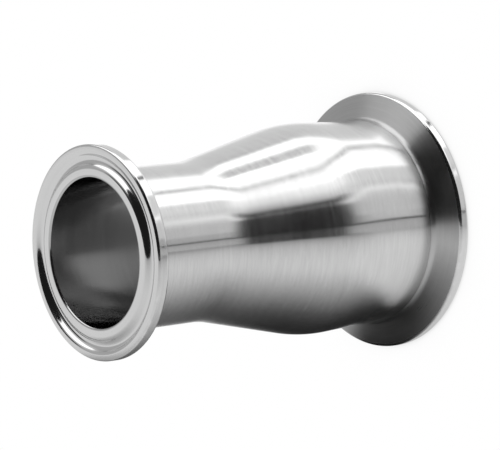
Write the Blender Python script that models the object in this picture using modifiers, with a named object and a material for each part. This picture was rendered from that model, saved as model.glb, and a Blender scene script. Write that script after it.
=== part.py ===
"""Concentric reducer with a clamp ferrule at each end, for hygienic tubing.

One thin-walled body of revolution. It stands on its large ferrule: the axis is +Z, the large sealing
face lies at z = 0 and the small one at z = OVERALL_LENGTH. The whole outline is worked out from the
sizes below and is turned about the axis by one Screw modifier.
"""

import math

import bpy
from mathutils import Vector

MM = 0.001

# Driving dimensions: the whole fitting
OVERALL_LENGTH = 88.9 * MM
WALL = 1.5 * MM
SMALL_TUBE_DIAMETER = 38.1 * MM
LARGE_TUBE_DIAMETER = 50.8 * MM

# Driving dimensions: the formed body between the two tube ends
SMALL_NECK_LENGTH = 28.7 * MM   # from the small face to where the neck and cone lines cross
LARGE_NECK_LENGTH = 29.7 * MM   # from the large face to where the cone and barrel lines cross
BARREL_END = 12.7 * MM          # from the large face to where the barrel is back at tube size
SHOULDER_RISE = 0.8 * MM        # how far the crossing at the shoulder stands proud of the large tube
NECK_BEND_RADIUS = 30.0 * MM
SHOULDER_BEND_RADIUS = 40.0 * MM
BARREL_BEND_RADIUS = 60.0 * MM

# Driving dimensions: the two clamp ferrules
SMALL_RIM_DIAMETER = 50.5 * MM
LARGE_RIM_DIAMETER = 64.0 * MM
SMALL_RIM_THICKNESS = 2.8 * MM
LARGE_RIM_THICKNESS = 2.3 * MM
RIM_FRONT_RADIUS = 0.6 * MM
RIM_BACK_RADIUS = 0.8 * MM
CLAMP_ANGLE = math.radians(24)  # slope of the back of a ferrule, where the clamp grips
FERRULE_FILLET_RADIUS = 1.5 * MM
BORE_EDGE_RADIUS = 0.5 * MM

# Driving dimensions: the gasket grooves, a vee with its floor and its two edges rounded
SMALL_GROOVE_DIAMETER = 43.4 * MM
LARGE_GROOVE_DIAMETER = 56.5 * MM
GROOVE_WIDTH = 3.3 * MM         # between the lines where the two slopes would cross the sealing face
GROOVE_SLOPE = math.radians(48)
GROOVE_FLOOR_RADIUS = 1.5 * MM
GROOVE_EDGE_RADIUS = 1.3 * MM

# Fineness of the faceted solid
TURN_STEPS = 72
ARC_TOLERANCE = 0.035 * MM      # how far a facet may cut inside the arc that it stands for

STEEL_COLOUR = (0.62, 0.62, 0.63, 1.0)
STEEL_ROUGHNESS = 0.28


def clear_scene():
    for item in list(bpy.data.objects):
        bpy.data.objects.remove(item, do_unlink=True)


def make_collection(name):
    collection = bpy.data.collections.new(name)
    bpy.context.scene.collection.children.link(collection)
    return collection


def steel_material():
    material = bpy.data.materials.new("brushed_stainless_steel")
    material.use_nodes = True
    shader = material.node_tree.nodes["Principled BSDF"]
    shader.inputs["Base Color"].default_value = STEEL_COLOUR
    shader.inputs["Metallic"].default_value = 1.0
    shader.inputs["Roughness"].default_value = STEEL_ROUGHNESS
    material.diffuse_color = STEEL_COLOUR
    return material


def arc_steps(radius, turn):
    """How many straight steps keep an arc of this radius and turn within the tolerance."""
    widest_step = 2 * math.acos(1 - min(ARC_TOLERANCE / radius, 1.0))
    return math.ceil(turn / widest_step)


def corner(radius, height, rounding=0.0):
    """One corner of the outline, at this distance from the axis, with the radius that rounds it."""
    return Vector((radius, height)), rounding


def offset_corner(before, at, after, distance):
    """Where the lines before-at and at-after cross once both are moved to their right by distance."""
    first = (at - before).normalized()
    second = (after - at).normalized()
    first_right = Vector((first.y, -first.x))
    second_right = Vector((second.y, -second.x))
    return at + (first_right + second_right) * distance / (1 + first_right.dot(second_right))


def groove_corners(groove_diameter, face, into):
    """The gasket groove from its inner edge, over its floor, to its outer edge.

    into is +1 where the metal lies above the face, and -1 where it lies below.
    """
    middle = groove_diameter / 2
    half_width = GROOVE_WIDTH / 2
    return [
        corner(middle - half_width, face, GROOVE_EDGE_RADIUS),
        corner(middle, face + into * half_width * math.tan(GROOVE_SLOPE), GROOVE_FLOOR_RADIUS),
        corner(middle + half_width, face, GROOVE_EDGE_RADIUS),
    ]


def ferrule_corners(tube_diameter, rim_diameter, rim_thickness, groove_diameter, face, into):
    """A clamp ferrule from its bore edge, across the sealing face and round the rim, to its neck."""
    rim_radius = rim_diameter / 2
    tube_radius = tube_diameter / 2
    back = face + into * rim_thickness
    clamp_rise = (rim_radius - tube_radius) * math.tan(CLAMP_ANGLE)
    corners = [corner(tube_radius - WALL, face, BORE_EDGE_RADIUS)]
    corners += groove_corners(groove_diameter, face, into)
    corners.append(corner(rim_radius, face, RIM_FRONT_RADIUS))
    corners.append(corner(rim_radius, back, RIM_BACK_RADIUS))
    corners.append(corner(tube_radius, back + into * clamp_rise, FERRULE_FILLET_RADIUS))
    return corners


def body_corners():
    """The outside of the body from the small neck down to the large tube, without its two ends."""
    small_radius = SMALL_TUBE_DIAMETER / 2
    large_radius = LARGE_TUBE_DIAMETER / 2
    return [
        corner(small_radius, OVERALL_LENGTH - SMALL_NECK_LENGTH, NECK_BEND_RADIUS),
        corner(large_radius + SHOULDER_RISE, LARGE_NECK_LENGTH, SHOULDER_BEND_RADIUS),
        corner(large_radius, BARREL_END, BARREL_BEND_RADIUS),
    ]


def bore_corners(outside):
    """The bore from the large end up to the small end: the body's outside moved in by the wall."""
    top = Vector((SMALL_TUBE_DIAMETER / 2, OVERALL_LENGTH))
    bottom = Vector((LARGE_TUBE_DIAMETER / 2, 0.0))
    places = [top] + [place for place, _ in outside] + [bottom]
    # A bend that is hollow outside has its centre out there, so its bore bends more widely.
    bore_bends = (NECK_BEND_RADIUS + WALL, SHOULDER_BEND_RADIUS - WALL, BARREL_BEND_RADIUS + WALL)
    corners = []
    for index, rounding in enumerate(bore_bends):
        before, at, after = places[index:index + 3]
        inner = offset_corner(before, at, after, WALL)
        corners.append(corner(inner.x, inner.y, rounding))
    return corners[::-1]


def round_corner(before, at, after, rounding):
    """The points of the arc that rounds one corner, or the corner itself where it stays sharp."""
    if not rounding:
        return [at]
    to_before = (before - at).normalized()
    to_after = (after - at).normalized()
    turn = math.pi - to_before.angle(to_after)
    reach = rounding * math.tan(turn / 2)
    centre = at + (to_before + to_after).normalized() * rounding / math.cos(turn / 2)
    first_spoke = (at + to_before * reach - centre).normalized()
    last_spoke = (at + to_after * reach - centre).normalized()
    steps = arc_steps(rounding, turn)
    return [centre + first_spoke.slerp(last_spoke, step / steps) * rounding for step in range(steps + 1)]


def reducer_outline():
    """The closed outline: out over the small face, down the outside, in and up the bore."""
    small_end = ferrule_corners(SMALL_TUBE_DIAMETER, SMALL_RIM_DIAMETER, SMALL_RIM_THICKNESS,
                                SMALL_GROOVE_DIAMETER, OVERALL_LENGTH, -1)
    large_end = ferrule_corners(LARGE_TUBE_DIAMETER, LARGE_RIM_DIAMETER, LARGE_RIM_THICKNESS,
                                LARGE_GROOVE_DIAMETER, 0.0, 1)
    outside = body_corners()
    corners = small_end + outside + large_end[::-1] + bore_corners(outside)
    points = []
    for index, (at, rounding) in enumerate(corners):
        before = corners[index - 1][0]
        after = corners[(index + 1) % len(corners)][0]
        points += round_corner(before, at, after, rounding)
    return points


def turned_piece(name, outline, material, collection):
    """An object whose closed outline, drawn in the XZ plane, is turned round the Z axis."""
    mesh = bpy.data.meshes.new(name)
    points = [(point.x, 0.0, point.y) for point in outline]
    count = len(points)
    edges = [(index, (index + 1) % count) for index in range(count)]
    mesh.from_pydata(points, edges, [])
    mesh.materials.append(material)
    piece = bpy.data.objects.new(name, mesh)
    collection.objects.link(piece)
    turn = piece.modifiers.new("turn", "SCREW")
    turn.axis = "Z"
    turn.angle = math.tau
    turn.screw_offset = 0.0
    turn.steps = TURN_STEPS
    turn.render_steps = TURN_STEPS
    turn.use_smooth_shade = True
    turn.use_merge_vertices = False
    crisp = piece.modifiers.new("crisp_edges", "WEIGHTED_NORMAL")
    crisp.keep_sharp = True
    return piece


clear_scene()
fitting = make_collection("concentric_clamp_reducer")
turned_piece("reducer_body", reducer_outline(), steel_material(), fitting)
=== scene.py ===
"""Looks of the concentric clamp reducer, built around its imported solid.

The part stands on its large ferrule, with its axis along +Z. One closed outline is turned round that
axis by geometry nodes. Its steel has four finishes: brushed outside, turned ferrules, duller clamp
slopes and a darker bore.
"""

import math

import bmesh
import bpy
from mathutils import Matrix, Vector


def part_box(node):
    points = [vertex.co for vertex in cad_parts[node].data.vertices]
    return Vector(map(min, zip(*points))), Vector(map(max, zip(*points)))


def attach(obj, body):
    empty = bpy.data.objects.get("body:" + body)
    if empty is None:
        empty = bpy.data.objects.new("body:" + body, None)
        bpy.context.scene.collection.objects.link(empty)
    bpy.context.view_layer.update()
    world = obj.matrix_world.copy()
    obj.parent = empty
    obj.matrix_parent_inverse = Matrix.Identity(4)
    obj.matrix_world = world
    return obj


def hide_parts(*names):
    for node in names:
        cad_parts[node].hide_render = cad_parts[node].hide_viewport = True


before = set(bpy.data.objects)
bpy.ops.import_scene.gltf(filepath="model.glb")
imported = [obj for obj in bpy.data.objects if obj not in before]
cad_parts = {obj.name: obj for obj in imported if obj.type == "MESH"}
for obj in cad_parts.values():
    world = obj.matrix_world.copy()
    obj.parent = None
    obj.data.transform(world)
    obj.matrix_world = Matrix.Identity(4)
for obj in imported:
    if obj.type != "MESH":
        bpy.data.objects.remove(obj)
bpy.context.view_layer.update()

MM = 0.001
NODE = "reducer_body"

# Sizes of the whole fitting
SOLID_LOW, SOLID_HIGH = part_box(NODE)
LARGE_FACE = SOLID_LOW.z
SMALL_FACE = SOLID_HIGH.z
LARGE_RIM_RADIUS = SOLID_HIGH.x
WALL = 1.5 * MM
SMALL_TUBE_RADIUS = 38.1 / 2 * MM
LARGE_TUBE_RADIUS = 50.8 / 2 * MM
SMALL_RIM_RADIUS = 50.5 / 2 * MM

# The formed body between the two tube ends
NECK_HEIGHT = SMALL_FACE - 28.7 * MM        # where the neck and cone lines cross
SHOULDER_HEIGHT = LARGE_FACE + 29.7 * MM    # where the cone and barrel lines cross
BARREL_END_HEIGHT = LARGE_FACE + 12.7 * MM  # where the barrel is back at the large tube's size
SHOULDER_RISE = 0.8 * MM
NECK_BEND_RADIUS = 30.0 * MM
SHOULDER_BEND_RADIUS = 40.0 * MM
BARREL_BEND_RADIUS = 60.0 * MM

# The ferrules
SMALL_RIM_THICKNESS = 2.8 * MM
LARGE_RIM_THICKNESS = 2.3 * MM
RIM_FRONT_RADIUS = 0.6 * MM
RIM_BACK_RADIUS = 0.8 * MM
CLAMP_ANGLE = math.radians(24)
FERRULE_FILLET_RADIUS = 1.5 * MM
BORE_EDGE_RADIUS = 0.5 * MM

# The gasket grooves, a vee with its floor and its two edges rounded
SMALL_GROOVE_RADIUS = 43.4 / 2 * MM
LARGE_GROOVE_RADIUS = 56.5 / 2 * MM
GROOVE_WIDTH = 3.3 * MM
GROOVE_SLOPE = math.radians(48)
GROOVE_FLOOR_RADIUS = 1.5 * MM
GROOVE_EDGE_RADIUS = 1.3 * MM

# Zones of the outline, each with its own finish of the steel
BODY = 0
FERRULE = 1
BORE = 2
CLAMP = 3
ZONE_GAP = 0.1 * MM  # from the end of a rounding to where the next zone begins

# How finely the outline is rounded, split along its straights and turned
ROUND_POINTS = 10
LONGEST_STEP = 1.4 * MM
TURN_STEPS = 256

# The polisher's hand: how far the body's outside swells and sinks, and over what distance
POLISH_DEPTH = 0.012 * MM
POLISH_REACH = 9.0 * MM
POLISH_SEED = 4.0

# The camera, on the side that faces -Y and rolled so that the part's axis lies across the picture
CAMERA_PLACE = Vector((2.3 * MM, -502.1 * MM, 441.8 * MM))
CAMERA_AIM = Vector((2.3 * MM, 0.0, 41.9 * MM))
CAMERA_ROLL = math.radians(96.62)
CAMERA_LENS = 190.8
CAMERA_NEAREST = 0.01
CAMERA_FARTHEST = 50.0

# The studio's own directions in this frame: its up is nearly +X, because the part lay on its side
STUDIO_UP = Vector((0.99833, -0.05772, 0.0))
STUDIO_TOWARD = Vector((-0.04512, -0.78043, 0.62362))
STUDIO_RIGHT = Vector((-0.03615, -0.62538, -0.77948))

# The studio as cards of light, later ones over earlier ones: name, brightness, blur of the edges in
# degrees, and corners in degrees of azimuth from the camera's side to its right and of elevation. An
# edge runs along a great circle, so a long level one bulges upwards in its middle.
STUDIO_CARDS = (
    ("left_wall", 0.76, 13.0, ((-75, 62), (-72, 22), (-150, 18), (-150, 60))),
    ("left_dim_wall", 0.55, 4.0, ((-96, 30), (-96, -10), (-175, -10), (-175, 30))),
    ("left_low_wall", 0.88, 4.0, ((-96, 5), (-96, -10), (-175, -10), (-175, 5))),
    ("left_far_wall", 0.52, 10.0, ((-116, 40), (-116, 14), (-160, 14), (-160, 40))),
    ("left_softbox", 1.9, 3.0, ((-60, 34), (-141, 41), (-141, 66), (0, 72))),
    ("right_wall", 0.84, 5.0, ((150, 30), (150, -4), (69, -4), (66, 26))),
    ("upper_right_wall", 1.0, 4.0, ((150, 34), (150, 14), (50, 27), (50, 50))),
    ("tube_side_wall", 1.0, 3.0, ((86, 40), (86, 23), (70, 20), (70, 40))),
    ("front_glow", 1.5, 8.0, ((85, 48), (80, 38), (48, 33), (42, 48))),
    ("wall_edge", 1.5, 2.0, ((106, 27.9), (106, 24.9), (62, 20.4), (62, 23.4))),
    ("back_wall", 0.85, 6.0, ((-165, 57), (-165, -4), (148, 0), (140, 51))),
    ("back_glow", 1.2, 6.0, ((-172, 18), (-172, -12), (172, -8), (172, 16))),
    ("beyond_table", 0.62, 3.0, ((175, 0.6), (175, -9.0), (60, -9.0), (60, 0.6))),
    ("low_side_wall", 0.55, 2.0, ((79, 8), (79, -3), (66, -3), (66, 8))),
    ("horizon_gap", 0.05, 0.6, ((175, 1.2), (175, 0.2), (60, 0.2), (60, 1.2))),
    ("low_softbox", 1.9, 3.0, ((45, 54.6), (148, 39.5), (135, 25.3), (45, 41.7))),
    ("high_softbox", 1.9, 3.0, ((-60, 70), (-137, 64.2), (143.6, 38.6), (45, 54.0))),
    ("near_softbox_gap", 0.05, 0.6, ((46, 55.6), (119, 53.7), (118, 51.2), (46, 52.3))),
    ("far_softbox_gap", 0.05, 0.6, ((116, 54.7), (147, 38.4), (147, 35.4), (116, 51.8))),
    ("softbox_notch", 0.5, 2.5, ((108, 77), (155, 70), (141, 63), (117, 66.5))),
)
ROOM_BRIGHTNESS = 0.015

# The table card, by its reach from the middle of the part
TABLE_FRONT = 150 * MM
TABLE_RIGHT = 380 * MM
TABLE_LEFT = 900 * MM
TABLE_BACK = 900 * MM
TABLE_BRIGHTNESS = 0.93
TABLE_DARKEST = 0.01
TABLE_SHADE_REACH = 120 * MM
TABLE_SHUT_LEVEL = 0.15  # openness of the sky at and below which the table is darkest
TABLE_OPEN_LEVEL = 0.88  # openness at and above which it is brightest
TABLE_LIGHT = (135, 55)  # azimuth and elevation that the openness is measured towards
# Painted shade: the table's glow falls off with distance from the part, towards the camera and a little
# to its right
TABLE_PAINTED_FALLOFF_WAY = (1.0, 0.22)  # towards the camera and to its right
TABLE_PAINTED_FALLOFF_FROM = 34 * MM
TABLE_PAINTED_FALLOFF_TO = 180 * MM
TABLE_PAINTED_FALLOFF_LEVEL = 0.38

# Light that the bright end face throws on the table in front of it
GLEAM_TOWARD = 30 * MM
GLEAM_RIGHT = -24 * MM
GLEAM_REACH = 45 * MM
GLEAM_BRIGHTNESS = 0.11

# How finely the shade of the table and the floor is sampled
SHADE_SAMPLES = 12

# The pale floor that the camera sees, and its shade near the part
FLOOR_REACH = 4.0
FLOOR_SHADE_REACH = 60 * MM
FLOOR_OPEN_LEVEL = 0.7
FLOOR_DARKEST = 0.3

# The glowing disc on the floor that the bore's wall mirrors, with painted light and painted shade: its
# brightness at heights up the studio, in millimetres
BORE_FLOOR_GAP = 0.1 * MM
BORE_FLOOR_RADIUS = LARGE_TUBE_RADIUS - WALL - BORE_FLOOR_GAP
BORE_FLOOR_LIFT = 0.05 * MM
BORE_FLOOR_SIDES = 96
BORE_PAINTED_LIGHT_STOPS = ((-21, 0.6), (-17, 0.95), (-5, 0.84), (-1.5, 0.66), (1.5, 0.32), (8, 0.26), (18, 0.24))

# The steel's grey on the outside and the ferrules, darker on the clamp slopes and in the bore
STEEL_TONE = 0.62
CLAMP_TONE = 0.48
BORE_TONE = 0.45

# Marks round the axis. The radius counts more than the height, so that no slope of the part keeps
# their sum level. The tone's pattern is moved off the height's and is coarser.
RADIUS_WEIGHT = 1.7
MARK_TONE_SHIFT = (7.3, 1.9, 4.1)
MARK_TONE_SCALE = 0.6
MARK_DULLNESS = 0.5  # share of a mark's swing in tone that its roughness takes
MARK_DIRECTION = 0.25  # quarter turn that spreads the gloss across the marks

# Hairline scratches, laid in three directions
SCRATCH_TURNS = ((0.5, 0.9, 0.3), (-0.8, 0.3, -1.1), (1.3, -0.6, 0.8))
SCRATCH_LENGTH = 4.0 * MM
SCRATCH_WIDTH = 0.1 * MM
SCRATCH_COVER = 0.12
SCRATCH_SOFTNESS = 0.04
SCRATCH_TONE = 0.03
SCRATCH_DULLNESS = 0.06
SCRATCH_DEPTH = 0.0004 * MM

# Smudges, as soft clouds
SMUDGE_SIZE = 16.0 * MM
SMUDGE_THINNEST = 0.32
SMUDGE_THICKEST = 0.68
SMUDGE_TONE = 0.02

# Wear on the outer edges of the two rims: radius, height of the rim's middle, and thickness
RIMS = (
    (SMALL_RIM_RADIUS, SMALL_FACE - SMALL_RIM_THICKNESS / 2, SMALL_RIM_THICKNESS),
    (LARGE_RIM_RADIUS, LARGE_FACE + LARGE_RIM_THICKNESS / 2, LARGE_RIM_THICKNESS),
)
WEAR_REACH = 0.8 * MM
WEAR_RISE = 1.2  # share of the reach, off the rim's middle, over which wear sets in
WEAR_ENDS_FROM = 0.6  # share of the thickness, off the middle, from which wear fades out
WEAR_PATCHES_PER_METRE = 420.0
WEAR_BARE = 0.42
WEAR_FULL = 0.62
WEAR_TONE = 0.05
WEAR_DULLNESS = 0.1
WEAR_DEPTH = 0.004 * MM


def corner(radius, height, rounding=0.0, zone=BODY):
    """One corner of the outline, the radius that rounds it, and the zone of the stretch around it."""
    return (radius, height), rounding, zone


def offset_corner(before, at, after, distance):
    """Where the lines before-at and at-after cross once both are moved to their right by distance."""
    before, at, after = Vector(before), Vector(at), Vector(after)
    first = (at - before).normalized()
    second = (after - at).normalized()
    first_right = Vector((first.y, -first.x))
    second_right = Vector((second.y, -second.x))
    return at + (first_right + second_right) * distance / (1 + first_right.dot(second_right))


def groove_corners(middle, face, into):
    """The gasket groove from its inner edge to its outer edge; into is +1 where the metal is above."""
    half_width = GROOVE_WIDTH / 2
    vee_depth = half_width * math.tan(GROOVE_SLOPE)
    return [
        corner(middle - half_width, face, GROOVE_EDGE_RADIUS, FERRULE),
        corner(middle, face + into * vee_depth, GROOVE_FLOOR_RADIUS, FERRULE),
        corner(middle + half_width, face, GROOVE_EDGE_RADIUS, FERRULE),
    ]


def ferrule_corners(tube_radius, rim_radius, rim_thickness, groove_radius, face, into):
    """A clamp ferrule from its bore edge, across the face and round the rim, to its neck."""
    back = face + into * rim_thickness
    clamp_rise = (rim_radius - tube_radius) * math.tan(CLAMP_ANGLE)
    half_turn = (math.pi / 2 - CLAMP_ANGLE) / 2
    past_rim = RIM_BACK_RADIUS * math.tan(half_turn) + ZONE_GAP
    past_fillet = clamp_rise + FERRULE_FILLET_RADIUS * math.tan(half_turn) + ZONE_GAP
    return [
        corner(tube_radius - WALL, face, BORE_EDGE_RADIUS, BORE),
        corner(tube_radius - WALL + BORE_EDGE_RADIUS + ZONE_GAP, face, zone=FERRULE),
        *groove_corners(groove_radius, face, into),
        corner(rim_radius, face, RIM_FRONT_RADIUS, FERRULE),
        corner(rim_radius, back, RIM_BACK_RADIUS, FERRULE),
        corner(rim_radius - past_rim * math.cos(CLAMP_ANGLE),
               back + into * past_rim * math.sin(CLAMP_ANGLE), zone=CLAMP),
        corner(tube_radius, back + into * clamp_rise, FERRULE_FILLET_RADIUS, CLAMP),
        corner(tube_radius, back + into * past_fillet),
    ]


def reducer_corners():
    """The closed outline: out over the small face, down the outside, in and up the bore."""
    small_end = ferrule_corners(SMALL_TUBE_RADIUS, SMALL_RIM_RADIUS, SMALL_RIM_THICKNESS,
                                SMALL_GROOVE_RADIUS, SMALL_FACE, -1)
    large_end = ferrule_corners(LARGE_TUBE_RADIUS, LARGE_RIM_RADIUS, LARGE_RIM_THICKNESS,
                                LARGE_GROOVE_RADIUS, LARGE_FACE, 1)
    outside = [
        corner(SMALL_TUBE_RADIUS, NECK_HEIGHT, NECK_BEND_RADIUS),
        corner(LARGE_TUBE_RADIUS + SHOULDER_RISE, SHOULDER_HEIGHT, SHOULDER_BEND_RADIUS),
        corner(LARGE_TUBE_RADIUS, BARREL_END_HEIGHT, BARREL_BEND_RADIUS),
    ]
    places = [(SMALL_TUBE_RADIUS, SMALL_FACE)] + [place for place, _, _ in outside]
    places.append((LARGE_TUBE_RADIUS, LARGE_FACE))
    bore_bends = (NECK_BEND_RADIUS + WALL, SHOULDER_BEND_RADIUS - WALL, BARREL_BEND_RADIUS + WALL)
    bore = []
    for index, bend in enumerate(bore_bends):
        inner = offset_corner(*places[index:index + 3], WALL)
        bore.append(corner(inner.x, inner.y, bend, BORE))
    return small_end + outside + large_end[::-1] + bore[::-1]


def outline_object(corners):
    """The outline as a loop of edges in the XY plane: X is the radius and Y is the height."""
    mesh = bpy.data.meshes.new("reducer_outline")
    points = [(place[0], place[1], 0.0) for place, _, _ in corners]
    count = len(points)
    edges = [(index, (index + 1) % count) for index in range(count)]
    mesh.from_pydata(points, edges, [])
    rounding = mesh.attributes.new("rounding", "FLOAT", "POINT")
    zone = mesh.attributes.new("zone", "INT", "POINT")
    for index, (_, radius, name) in enumerate(corners):
        rounding.data[index].value = radius
        zone.data[index].value = name
    outline = bpy.data.objects.new("reducer_outline", mesh)
    bpy.context.scene.collection.objects.link(outline)
    return outline


def new_node(tree, kind, **settings):
    """A node of this kind with these settings, which are its own properties and not its sockets."""
    node = tree.nodes.new(kind)
    for name, value in settings.items():
        setattr(node, name, value)
    return node


def feed(tree, socket, value):
    """Fill an input socket with a plain value, or link it to another node's output socket."""
    if isinstance(value, bpy.types.NodeSocket):
        tree.links.new(value, socket)
    else:
        socket.default_value = value


def maths(tree, operation, *values):
    """The result of a math node over these values or sockets."""
    node = new_node(tree, "ShaderNodeMath", operation=operation)
    for socket, value in zip(node.inputs, values):
        feed(tree, socket, value)
    return node.outputs["Value"]


def vector_maths(tree, operation, *values):
    """The result of a vector math node over these values or sockets."""
    node = new_node(tree, "ShaderNodeVectorMath", operation=operation)
    for socket, value in zip(node.inputs, values):
        feed(tree, socket, value)
    single = operation in ("DOT_PRODUCT", "DISTANCE", "LENGTH")
    return node.outputs["Value" if single else "Vector"]


def map_range(tree, value, low, high, to_low=0.0, to_high=1.0, interpolation="LINEAR"):
    """The value moved from the range low to high over to the range to_low to to_high, and held there."""
    node = new_node(tree, "ShaderNodeMapRange", interpolation_type=interpolation)
    for name, given in (("Value", value), ("From Min", low), ("From Max", high),
                        ("To Min", to_low), ("To Max", to_high)):
        feed(tree, node.inputs[name], given)
    return node.outputs["Result"]


def brightness_ramp(tree, value, stops):
    """The brightness that stops, pairs of a distance in millimetres and a level, give to the value."""
    lowest, highest = stops[0][0], stops[-1][0]
    ramp = new_node(tree, "ShaderNodeValToRGB")
    feed(tree, ramp.inputs["Fac"], map_range(tree, value, lowest * MM, highest * MM))
    marks = ramp.color_ramp.elements
    while len(marks) < len(stops):
        marks.new(0.5)
    for mark, (distance, level) in zip(marks, stops):
        mark.position = (distance - lowest) / (highest - lowest)
        mark.color = (level, level, level, 1.0)
    return ramp.outputs["Color"]


def rounded_outline(tree, source):
    """Geometry nodes: the outline as a curve with rounded corners and split straights."""
    to_curve = new_node(tree, "GeometryNodeMeshToCurve")
    feed(tree, to_curve.inputs["Mesh"], source.outputs["Outline"])
    rounding = new_node(tree, "GeometryNodeInputNamedAttribute", data_type="FLOAT")
    rounding.inputs["Name"].default_value = "rounding"
    fillet = new_node(tree, "GeometryNodeFilletCurve", mode="POLY")
    feed(tree, fillet.inputs["Curve"], to_curve.outputs["Curve"])
    feed(tree, fillet.inputs["Radius"], rounding.outputs["Attribute"])
    feed(tree, fillet.inputs["Count"], source.outputs["Round Points"])

    place = new_node(tree, "GeometryNodeInputPosition").outputs["Position"]
    next_point = new_node(tree, "GeometryNodeOffsetPointInCurve")
    next_point.inputs["Offset"].default_value = 1
    next_place = new_node(tree, "GeometryNodeFieldAtIndex", data_type="FLOAT_VECTOR", domain="POINT")
    feed(tree, next_place.inputs["Value"], place)
    feed(tree, next_place.inputs["Index"], next_point.outputs["Point Index"])
    stretch = vector_maths(tree, "DISTANCE", place, next_place.outputs["Value"])
    subdivide = new_node(tree, "GeometryNodeSubdivideCurve")
    feed(tree, subdivide.inputs["Curve"], fillet.outputs["Curve"])
    feed(tree, subdivide.inputs["Cuts"], maths(tree, "DIVIDE", stretch, source.outputs["Longest Step"]))
    return subdivide.outputs["Curve"]


def turned_surface(tree, source, outline):
    """Geometry nodes: the outline swept round a guide circle, outwards from the circle's radius."""
    shift = new_node(tree, "ShaderNodeCombineXYZ")
    feed(tree, shift.inputs["X"], maths(tree, "MULTIPLY", source.outputs["Guide Radius"], -1.0))
    moved = new_node(tree, "GeometryNodeTransform")
    feed(tree, moved.inputs["Geometry"], outline)
    feed(tree, moved.inputs["Translation"], shift.outputs["Vector"])
    moved.inputs["Scale"].default_value = (1.0, -1.0, 1.0)
    circle = new_node(tree, "GeometryNodeCurvePrimitiveCircle", mode="RADIUS")
    feed(tree, circle.inputs["Resolution"], source.outputs["Turn Steps"])
    feed(tree, circle.inputs["Radius"], source.outputs["Guide Radius"])
    upright = new_node(tree, "GeometryNodeSetCurveNormal", mode="Z_UP")
    feed(tree, upright.inputs["Curve"], circle.outputs["Curve"])
    sweep = new_node(tree, "GeometryNodeCurveToMesh")
    feed(tree, sweep.inputs["Curve"], upright.outputs["Curve"])
    feed(tree, sweep.inputs["Profile Curve"], moved.outputs["Geometry"])
    return sweep.outputs["Mesh"]


def in_zone(tree, number):
    """Geometry nodes: whether a point or face lies in this zone of the outline."""
    zone = new_node(tree, "GeometryNodeInputNamedAttribute", data_type="INT")
    zone.inputs["Name"].default_value = "zone"
    chosen = new_node(tree, "FunctionNodeCompare", data_type="INT", operation="EQUAL")
    feed(tree, chosen.inputs["A"], zone.outputs["Attribute"])
    chosen.inputs["B"].default_value = number
    return chosen.outputs["Result"]


def hand_polished(tree, source, surface):
    """Geometry nodes: the body's outside swells and sinks a little, as polishing by hand leaves it."""
    swell = new_node(tree, "ShaderNodeTexNoise", noise_dimensions="4D")
    swell.inputs["Detail"].default_value = 1.0
    feed(tree, swell.inputs["Vector"], new_node(tree, "GeometryNodeInputPosition").outputs["Position"])
    feed(tree, swell.inputs["Scale"], maths(tree, "DIVIDE", 1.0, source.outputs["Polish Reach"]))
    feed(tree, swell.inputs["W"], source.outputs["Polish Seed"])
    swing = maths(tree, "SUBTRACT", swell.outputs["Fac"], 0.5)
    depth = maths(tree, "MULTIPLY", swing, maths(tree, "MULTIPLY", source.outputs["Polish Depth"], 2.0))
    outward = new_node(tree, "GeometryNodeInputNormal").outputs["Normal"]
    offset = new_node(tree, "ShaderNodeVectorMath", operation="SCALE")
    feed(tree, offset.inputs[0], outward)
    feed(tree, offset.inputs["Scale"], depth)
    polished = new_node(tree, "GeometryNodeSetPosition")
    feed(tree, polished.inputs["Geometry"], surface)
    feed(tree, polished.inputs["Selection"], in_zone(tree, BODY))
    feed(tree, polished.inputs["Offset"], offset.outputs["Vector"])
    return polished.outputs["Geometry"]


TREE_INPUTS = (
    ("Outline", "NodeSocketGeometry", None),
    ("Round Points", "NodeSocketInt", ROUND_POINTS),
    ("Longest Step", "NodeSocketFloat", LONGEST_STEP),
    ("Turn Steps", "NodeSocketInt", TURN_STEPS),
    ("Guide Radius", "NodeSocketFloat", LARGE_RIM_RADIUS),
    ("Polish Depth", "NodeSocketFloat", POLISH_DEPTH),
    ("Polish Reach", "NodeSocketFloat", POLISH_REACH),
    ("Polish Seed", "NodeSocketFloat", POLISH_SEED),
)


def turning_tree(materials):
    """Geometry nodes: round the outline's corners, turn it round the axis and finish its zones."""
    tree = bpy.data.node_groups.new("turned_from_outline", "GeometryNodeTree")
    for name, kind, _ in TREE_INPUTS:
        tree.interface.new_socket(name, in_out="INPUT", socket_type=kind)
    tree.interface.new_socket("Turned", in_out="OUTPUT", socket_type="NodeSocketGeometry")
    source = new_node(tree, "NodeGroupInput")
    surface = turned_surface(tree, source, rounded_outline(tree, source))
    smooth = new_node(tree, "GeometryNodeSetShadeSmooth")
    feed(tree, smooth.inputs["Geometry"], hand_polished(tree, source, surface))
    realized = new_node(tree, "GeometryNodeRealizeInstances")
    feed(tree, realized.inputs["Geometry"], smooth.outputs["Geometry"])
    turned = realized.outputs["Geometry"]
    for number, material in materials.items():
        finish = new_node(tree, "GeometryNodeSetMaterial")
        finish.inputs["Material"].default_value = material
        feed(tree, finish.inputs["Geometry"], turned)
        if number != BODY:
            feed(tree, finish.inputs["Selection"], in_zone(tree, number))
        turned = finish.outputs["Geometry"]
    feed(tree, new_node(tree, "NodeGroupOutput").inputs["Turned"], turned)
    return tree


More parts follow.
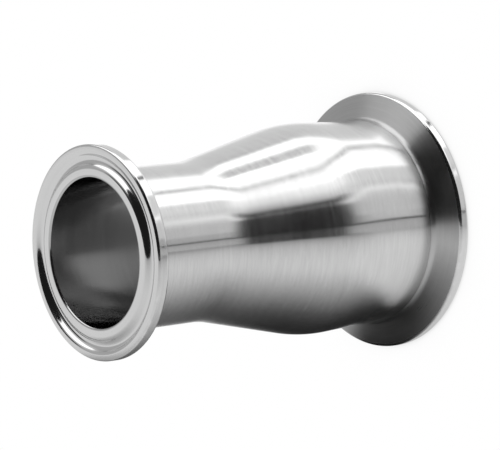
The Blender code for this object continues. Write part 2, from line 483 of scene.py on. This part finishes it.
def turned_reducer(materials):
    """The visible piece: the outline turned by the tree and kept as a plain mesh."""
    outline = outline_object(reducer_corners())
    tree = turning_tree(materials)
    modifier = outline.modifiers.new("turning", "NODES")
    modifier.node_group = tree
    keys = {item.name: item.identifier for item in tree.interface.items_tree}
    for name, _, value in TREE_INPUTS:
        if value is not None:
            modifier[keys[name]] = value
    crisp = outline.modifiers.new("crisp_edges", "WEIGHTED_NORMAL")
    crisp.keep_sharp = True
    bpy.context.view_layer.update()
    shaped = outline.evaluated_get(bpy.context.evaluated_depsgraph_get())
    mesh = bpy.data.meshes.new_from_object(shaped)
    mesh.name = "turned_reducer"
    piece = bpy.data.objects.new("turned_reducer", mesh)
    bpy.context.scene.collection.objects.link(piece)
    bpy.data.objects.remove(outline, do_unlink=True)
    return piece


def new_group(name, inputs, outputs):
    """A shader node group with these inputs and float outputs, and its input and output nodes."""
    tree = bpy.data.node_groups.new(name, "ShaderNodeTree")
    for title, kind in inputs:
        tree.interface.new_socket(title, in_out="INPUT", socket_type=kind)
    for title in outputs:
        tree.interface.new_socket(title, in_out="OUTPUT", socket_type="NodeSocketFloat")
    return tree, new_node(tree, "NodeGroupInput"), new_node(tree, "NodeGroupOutput")


def split_place(tree, vector):
    """The X, Y and Z of a place, as the outputs of one node."""
    node = new_node(tree, "ShaderNodeSeparateXYZ")
    feed(tree, node.inputs["Vector"], vector)
    return node.outputs


def from_axis(tree, place):
    """How far a place, split into its X, Y and Z, lies from the part's axis."""
    flat = new_node(tree, "ShaderNodeCombineXYZ")
    feed(tree, flat.inputs["X"], place["X"])
    feed(tree, flat.inputs["Y"], place["Y"])
    return vector_maths(tree, "LENGTH", flat.outputs["Vector"])


def noise(tree, vector, scale, detail=2.0, roughness=0.5):
    """The value, 0 to 1, of a noise texture at this vector."""
    node = new_node(tree, "ShaderNodeTexNoise", noise_dimensions="3D")
    for name, value in (("Vector", vector), ("Scale", scale), ("Detail", detail),
                        ("Roughness", roughness)):
        feed(tree, node.inputs[name], value)
    return node.outputs["Fac"]


def lathe_marks_group():
    """Fine marks round the axis: short dashes, close together along the outline of the part.

    Height and Tone both swing about 0.5.
    """
    inputs = (("Place", "NodeSocketVector"), ("Dash Length", "NodeSocketFloat"),
              ("Dash Pitch", "NodeSocketFloat"))
    tree, source, result = new_group("lathe_marks", inputs, ("Height", "Tone"))
    place = split_place(tree, source.outputs["Place"])
    radius = from_axis(tree, place)
    along = maths(tree, "ADD", place["Z"], maths(tree, "MULTIPLY", radius, RADIUS_WEIGHT))
    stretched = new_node(tree, "ShaderNodeCombineXYZ")
    for axis, value, size in (("X", place["X"], "Dash Length"),
                              ("Y", place["Y"], "Dash Length"),
                              ("Z", along, "Dash Pitch")):
        feed(tree, stretched.inputs[axis], maths(tree, "DIVIDE", value, source.outputs[size]))
    feed(tree, result.inputs["Height"],
         noise(tree, stretched.outputs["Vector"], scale=1.0, detail=2.0, roughness=0.6))
    shifted = vector_maths(tree, "ADD", stretched.outputs["Vector"], MARK_TONE_SHIFT)
    feed(tree, result.inputs["Tone"],
         noise(tree, shifted, MARK_TONE_SCALE, detail=3.0, roughness=0.7))
    return tree


def scratches_group():
    """Sparse hairline scratches that run slantwise: 1 on a scratch and 0 off it."""
    inputs = (("Place", "NodeSocketVector"), ("Length", "NodeSocketFloat"),
              ("Width", "NodeSocketFloat"), ("Cover", "NodeSocketFloat"))
    tree, source, result = new_group("hairline_scratches", inputs, ("Mask",))
    cover = maths(tree, "SUBTRACT", 1.0, source.outputs["Cover"])
    full = maths(tree, "ADD", cover, SCRATCH_SOFTNESS)
    total = 0.0
    for turn in SCRATCH_TURNS:
        turned = new_node(tree, "ShaderNodeVectorRotate", rotation_type="EULER_XYZ")
        feed(tree, turned.inputs["Vector"], source.outputs["Place"])
        turned.inputs["Rotation"].default_value = turn
        place = split_place(tree, turned.outputs["Vector"])
        stretched = new_node(tree, "ShaderNodeCombineXYZ")
        for axis, size in (("X", "Length"), ("Y", "Width"), ("Z", "Length")):
            feed(tree, stretched.inputs[axis],
                 maths(tree, "DIVIDE", place[axis], source.outputs[size]))
        pattern = noise(tree, stretched.outputs["Vector"], scale=1.0, detail=0.0)
        total = maths(tree, "MAXIMUM", total, map_range(tree, pattern, cover, full))
    feed(tree, result.inputs["Mask"], total)
    return tree


def smudges_group():
    """Large soft clouds, as handling and wiping leave them, 0 to 1."""
    inputs = (("Place", "NodeSocketVector"), ("Size", "NodeSocketFloat"))
    tree, source, result = new_group("soft_smudges", inputs, ("Cloud",))
    cloud = noise(tree, source.outputs["Place"], maths(tree, "DIVIDE", 1.0, source.outputs["Size"]),
                  detail=3.0, roughness=0.55)
    feed(tree, result.inputs["Cloud"], map_range(tree, cloud, SMUDGE_THINNEST, SMUDGE_THICKEST))
    return tree


def rim_wear_group():
    """Wear where a clamp grips: up to 1 on the two outer edges of a rim, broken up, and 0 elsewhere."""
    inputs = (("Place", "NodeSocketVector"), ("Rim Radius", "NodeSocketFloat"),
              ("Rim Height", "NodeSocketFloat"), ("Rim Thickness", "NodeSocketFloat"),
              ("Reach", "NodeSocketFloat"))
    tree, source, result = new_group("rim_wear", inputs, ("Wear",))
    place = split_place(tree, source.outputs["Place"])
    thickness = source.outputs["Rim Thickness"]
    inward = maths(tree, "SUBTRACT", source.outputs["Rim Radius"], from_axis(tree, place))
    away = maths(tree, "ABSOLUTE",
                 maths(tree, "SUBTRACT", place["Z"], source.outputs["Rim Height"]))
    near_outside = map_range(tree, inward, source.outputs["Reach"], 0.0)
    off_middle = map_range(tree, away, 0.0, maths(tree, "MULTIPLY", source.outputs["Reach"], WEAR_RISE))
    on_rim = map_range(tree, away, thickness, maths(tree, "MULTIPLY", thickness, WEAR_ENDS_FROM))
    patches = noise(tree, source.outputs["Place"], WEAR_PATCHES_PER_METRE, detail=3.0, roughness=0.65)
    wear = map_range(tree, patches, WEAR_BARE, WEAR_FULL)
    for share in (near_outside, off_middle, on_rim):
        wear = maths(tree, "MULTIPLY", wear, share)
    feed(tree, result.inputs["Wear"], wear)
    return tree


def effect(tree, group, **values):
    """A group node with its inputs filled; underscores in the names stand for spaces."""
    node = new_node(tree, "ShaderNodeGroup", node_tree=group)
    for name, value in values.items():
        feed(tree, node.inputs[name.replace("_", " ")], value)
    return node


def steel(name, groups, tone, roughness, anisotropy, dash_length, dash_pitch, mark_depth, mark_tone,
          smudge):
    """Stainless steel with marks round the axis, hairline scratches, smudges and worn rims."""
    material = bpy.data.materials.new(name)
    material.use_nodes = True
    tree = material.node_tree
    shader = tree.nodes["Principled BSDF"]
    place = new_node(tree, "ShaderNodeTexCoord").outputs["Object"]
    marks = effect(tree, groups["marks"], Place=place, Dash_Length=dash_length, Dash_Pitch=dash_pitch)
    scratches = effect(tree, groups["scratches"], Place=place, Length=SCRATCH_LENGTH,
                       Width=SCRATCH_WIDTH, Cover=SCRATCH_COVER)
    clouds = effect(tree, groups["smudges"], Place=place, Size=SMUDGE_SIZE)
    wear = 0.0
    for radius, height, thickness in RIMS:
        rim = effect(tree, groups["wear"], Place=place, Rim_Radius=radius, Rim_Height=height,
                     Rim_Thickness=thickness, Reach=WEAR_REACH)
        wear = maths(tree, "MAXIMUM", wear, rim.outputs["Wear"])

    # Tone: the marks and clouds shift the steel's own grey, and scratches and wear lighten it
    mark_swing = maths(tree, "SUBTRACT", marks.outputs["Tone"], 0.5)
    grey = maths(tree, "MULTIPLY_ADD", mark_swing, mark_tone, tone)
    grey = maths(tree, "ADD", grey, SMUDGE_TONE / 2)
    grey = maths(tree, "MULTIPLY_ADD", clouds.outputs["Cloud"], -SMUDGE_TONE, grey)
    grey = maths(tree, "MULTIPLY_ADD", scratches.outputs["Mask"], SCRATCH_TONE, grey)
    grey = maths(tree, "MULTIPLY_ADD", wear, WEAR_TONE, grey)
    colour = new_node(tree, "ShaderNodeCombineColor", mode="RGB")
    for channel in ("Red", "Green", "Blue"):
        feed(tree, colour.inputs[channel], grey)
    feed(tree, shader.inputs["Base Color"], colour.outputs["Color"])

    # Roughness: smudges, scratches and wear dull the polish
    dull = maths(tree, "MULTIPLY_ADD", clouds.outputs["Cloud"], smudge, roughness - smudge / 2)
    dull = maths(tree, "MULTIPLY_ADD", mark_swing, mark_tone * MARK_DULLNESS, dull)
    dull = maths(tree, "MULTIPLY_ADD", scratches.outputs["Mask"], SCRATCH_DULLNESS, dull)
    dull = maths(tree, "MULTIPLY_ADD", wear, WEAR_DULLNESS, dull)
    feed(tree, shader.inputs["Roughness"], dull)

    # Relief: the marks as fine ridges, the scratches as cuts and the wear as shallow hollows
    relief = maths(tree, "MULTIPLY", marks.outputs["Height"], mark_depth)
    relief = maths(tree, "MULTIPLY_ADD", scratches.outputs["Mask"], -SCRATCH_DEPTH, relief)
    relief = maths(tree, "MULTIPLY_ADD", wear, -WEAR_DEPTH, relief)
    bump = new_node(tree, "ShaderNodeBump")
    bump.inputs["Distance"].default_value = 1.0
    feed(tree, bump.inputs["Height"], relief)
    feed(tree, shader.inputs["Normal"], bump.outputs["Normal"])

    shader.inputs["Metallic"].default_value = 1.0
    shader.inputs["Anisotropic"].default_value = anisotropy
    shader.inputs["Anisotropic Rotation"].default_value = MARK_DIRECTION
    around = new_node(tree, "ShaderNodeTangent", direction_type="RADIAL", axis="Z")
    feed(tree, shader.inputs["Tangent"], around.outputs["Tangent"])
    return material


def studio_direction(azimuth, elevation):
    """The unit vector, in this frame, towards a point of the studio given in degrees."""
    turn = math.radians(azimuth)
    rise = math.radians(elevation)
    level = STUDIO_TOWARD * math.cos(turn) + STUDIO_RIGHT * math.sin(turn)
    return level * math.cos(rise) + STUDIO_UP * math.sin(rise)


def card_edge_group():
    """How far a direction lies inside one edge of a card: 1 inside, 0 outside, soft over the blur."""
    inputs = (("Direction", "NodeSocketVector"), ("Edge Normal", "NodeSocketVector"),
              ("Blur", "NodeSocketFloat"))
    tree, source, result = new_group("card_edge", inputs, ("Inside",))
    across = vector_maths(tree, "DOT_PRODUCT", source.outputs["Direction"],
                          source.outputs["Edge Normal"])
    half = maths(tree, "MULTIPLY", source.outputs["Blur"], 0.5)
    inside = map_range(tree, across, maths(tree, "MULTIPLY", half, -1.0), half,
                       interpolation="SMOOTHSTEP")
    feed(tree, result.inputs["Inside"], inside)
    return tree


def build_world():
    """A dark room with lit cards, seen by reflections; the camera sees plain white instead."""
    world = bpy.data.worlds.new("studio")
    bpy.context.scene.world = world
    world.use_nodes = True
    tree = world.node_tree
    direction = new_node(tree, "ShaderNodeTexCoord").outputs["Generated"]
    edge_group = card_edge_group()
    light = ROOM_BRIGHTNESS
    for name, brightness, blur, corners in STUDIO_CARDS:
        places = [studio_direction(*place) for place in corners]
        middle = sum(places, Vector()).normalized()
        inside = 1.0
        for index, place in enumerate(places):
            normal = places[index - 1].cross(place).normalized()
            edge = effect(tree, edge_group, Direction=direction, Blur=math.radians(blur),
                          Edge_Normal=normal if normal.dot(middle) > 0 else -normal)
            edge.label = name
            inside = maths(tree, "MULTIPLY", edge.outputs["Inside"], inside)
        laid_over = new_node(tree, "ShaderNodeMix", data_type="FLOAT", label=name)
        feed(tree, laid_over.inputs["Factor"], inside)
        feed(tree, laid_over.inputs["A"], light)
        laid_over.inputs["B"].default_value = brightness
        light = laid_over.outputs["Result"]
    seen = new_node(tree, "ShaderNodeMix", data_type="FLOAT")
    feed(tree, seen.inputs["Factor"], new_node(tree, "ShaderNodeLightPath").outputs["Is Camera Ray"])
    feed(tree, seen.inputs["A"], light)
    seen.inputs["B"].default_value = 1.0
    background = tree.nodes["Background"]
    background.inputs["Color"].default_value = (1.0, 1.0, 1.0, 1.0)
    feed(tree, background.inputs["Strength"], seen.outputs["Result"])


def glowing_material(name):
    """A material with an emission shader alone, and that shader."""
    material = bpy.data.materials.new(name)
    material.use_nodes = True
    tree = material.node_tree
    tree.nodes.remove(tree.nodes["Principled BSDF"])
    glow = new_node(tree, "ShaderNodeEmission")
    feed(tree, tree.nodes["Material Output"].inputs["Surface"], glow.outputs["Emission"])
    return material, glow


def openness(tree, reach, **inputs):
    """How open the sky is within this reach: 1 in the open, less where the part is in the way."""
    node = new_node(tree, "ShaderNodeAmbientOcclusion", samples=SHADE_SAMPLES)
    node.inputs["Distance"].default_value = reach
    for name, value in inputs.items():
        feed(tree, node.inputs[name], value)
    return node.outputs["AO"]


def sheet(name, places, material):
    """A flat piece of the studio. It faces the side from which its places run anticlockwise."""
    mesh = bpy.data.meshes.new(name)
    mesh.from_pydata(places, [], [tuple(range(len(places)))])
    mesh.materials.append(material)
    piece = bpy.data.objects.new(name, mesh)
    bpy.context.scene.collection.objects.link(piece)
    return piece


def build_table_card():
    """The table that the lying part would touch with both rims, as a glowing sheet whose glow holds the
    part's painted shadow, a painted fall-off of light away from the part and a painted pool of light.
    Only its reflections show.
    """
    small_touch = STUDIO_UP * -SMALL_RIM_RADIUS + Vector((0.0, 0.0, SMALL_FACE))
    large_touch = STUDIO_UP * -LARGE_RIM_RADIUS + Vector((0.0, 0.0, LARGE_FACE))
    along = (small_touch - large_touch).normalized()
    up = along.cross(STUDIO_UP).cross(along).normalized()
    toward = (STUDIO_TOWARD - up * STUDIO_TOWARD.dot(up)).normalized()
    right = (STUDIO_RIGHT - up * STUDIO_RIGHT.dot(up)).normalized()
    middle = (small_touch + large_touch) / 2
    reaches = ((TABLE_FRONT, -TABLE_LEFT), (TABLE_FRONT, TABLE_RIGHT),
               (-TABLE_BACK, TABLE_RIGHT), (-TABLE_BACK, -TABLE_LEFT))
    material, glow = glowing_material("pale_table")
    tree = material.node_tree
    lit = map_range(tree, openness(tree, TABLE_SHADE_REACH, Normal=studio_direction(*TABLE_LIGHT)),
                    TABLE_SHUT_LEVEL, TABLE_OPEN_LEVEL, TABLE_DARKEST, TABLE_BRIGHTNESS, "SMOOTHSTEP")
    from_middle = vector_maths(tree, "SUBTRACT", new_node(tree, "ShaderNodeTexCoord").outputs["Object"],
                               middle)
    # Painted fall-off of the table's light away from the part
    falloff_way = toward * TABLE_PAINTED_FALLOFF_WAY[0] + right * TABLE_PAINTED_FALLOFF_WAY[1]
    painted_falloff = map_range(tree, vector_maths(tree, "DOT_PRODUCT", from_middle, falloff_way), TABLE_PAINTED_FALLOFF_FROM,
                     TABLE_PAINTED_FALLOFF_TO, 1.0, TABLE_PAINTED_FALLOFF_LEVEL)
    to_gleam = vector_maths(tree, "DISTANCE", from_middle, toward * GLEAM_TOWARD + right * GLEAM_RIGHT)
    gleam = map_range(tree, to_gleam, 0.0, GLEAM_REACH, GLEAM_BRIGHTNESS, 0.0, "SMOOTHSTEP")
    feed(tree, glow.inputs["Strength"], maths(tree, "MULTIPLY_ADD", lit, painted_falloff, gleam))
    card = sheet("table_card", [middle + toward * front + right * side for front, side in reaches],
                 material)
    card.visible_camera = False
    card.visible_diffuse = False
    card.visible_transmission = False
    card.visible_shadow = False


def build_floor():
    """A pale floor under the part, white in the open, darker where the part shades it, clear below."""
    material, glow = glowing_material("pale_floor")
    tree = material.node_tree
    feed(tree, glow.inputs["Strength"],
         map_range(tree, openness(tree, FLOOR_SHADE_REACH), 0.0, FLOOR_OPEN_LEVEL, FLOOR_DARKEST, 1.0))
    mix = new_node(tree, "ShaderNodeMixShader")
    feed(tree, mix.inputs["Fac"], new_node(tree, "ShaderNodeNewGeometry").outputs["Backfacing"])
    feed(tree, mix.inputs[1], glow.outputs["Emission"])
    feed(tree, mix.inputs[2], new_node(tree, "ShaderNodeBsdfTransparent").outputs["BSDF"])
    feed(tree, tree.nodes["Material Output"].inputs["Surface"], mix.outputs["Shader"])
    turns = ((-1, -1), (1, -1), (1, 1), (-1, 1))
    floor = sheet("floor", [(x * FLOOR_REACH, y * FLOOR_REACH, LARGE_FACE) for x, y in turns], material)
    floor.visible_glossy = False
    floor.visible_shadow = False


def build_bore_painted_light_disc():
    """A glowing disc on the floor that the bore's wall mirrors, with painted light on its lower side and
    painted shade on its upper side, by height up the studio. Only its reflections show, so the bore stays
    open.
    """
    material, glow = glowing_material("bore_painted_light_disc")
    tree = material.node_tree
    height = vector_maths(tree, "DOT_PRODUCT", new_node(tree, "ShaderNodeTexCoord").outputs["Object"],
                          STUDIO_UP)
    feed(tree, glow.inputs["Color"], brightness_ramp(tree, height, BORE_PAINTED_LIGHT_STOPS))
    mesh = bpy.data.meshes.new("bore_painted_light_disc")
    work = bmesh.new()
    bmesh.ops.create_circle(work, cap_ends=True, segments=BORE_FLOOR_SIDES,
                            radius=BORE_FLOOR_RADIUS)
    bmesh.ops.translate(work, verts=work.verts, vec=(0.0, 0.0, LARGE_FACE + BORE_FLOOR_LIFT))
    work.to_mesh(mesh)
    work.free()
    mesh.materials.append(material)
    disc = bpy.data.objects.new("bore_painted_light_disc", mesh)
    bpy.context.scene.collection.objects.link(disc)
    disc.visible_camera = False
    disc.visible_shadow = False


def place_camera():
    """The photograph's camera, by its place, what it aims at, its roll and its lens."""
    data = bpy.data.cameras.new("camera")
    data.lens = CAMERA_LENS
    data.clip_start = CAMERA_NEAREST
    data.clip_end = CAMERA_FARTHEST
    camera = bpy.data.objects.new("camera", data)
    bpy.context.scene.collection.objects.link(camera)
    forward = (CAMERA_AIM - CAMERA_PLACE).normalized()
    level = forward.cross(Vector((0.0, 0.0, 1.0))).normalized()
    upright = level.cross(forward)
    up = upright * math.cos(CAMERA_ROLL) + level * math.sin(CAMERA_ROLL)
    right = forward.cross(up)
    turn = Matrix((right, up, -forward)).transposed().to_4x4()
    camera.matrix_world = Matrix.Translation(CAMERA_PLACE) @ turn
    bpy.context.scene.camera = camera


place_camera()
build_world()
build_floor()
build_table_card()
build_bore_painted_light_disc()
groups = {
    "marks": lathe_marks_group(),
    "scratches": scratches_group(),
    "smudges": smudges_group(),
    "wear": rim_wear_group(),
}
materials = {
    BODY: steel("brushed_steel", groups, tone=STEEL_TONE, roughness=0.16, anisotropy=0.94,
                dash_length=5.0 * MM, dash_pitch=0.35 * MM, mark_depth=0.0018 * MM, mark_tone=0.15,
                smudge=0.04),
    CLAMP: steel("clamp_steel", groups, tone=CLAMP_TONE, roughness=0.3, anisotropy=0.95,
                 dash_length=9.0 * MM, dash_pitch=0.35 * MM, mark_depth=0.0008 * MM, mark_tone=0.12,
                 smudge=0.04),
    FERRULE: steel("turned_steel", groups, tone=STEEL_TONE, roughness=0.1, anisotropy=0.3,
                   dash_length=40.0 * MM, dash_pitch=0.3 * MM, mark_depth=0.0004 * MM, mark_tone=0.06,
                   smudge=0.03),
    BORE: steel("bore_steel", groups, tone=BORE_TONE, roughness=0.12, anisotropy=0.6,
                dash_length=14.0 * MM, dash_pitch=0.9 * MM, mark_depth=0.001 * MM, mark_tone=0.1,
                smudge=0.05),
}
reducer = turned_reducer(materials)
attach(reducer, "root")
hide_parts(NODE)
bpy.context.scene.view_settings.view_transform = "Standard"
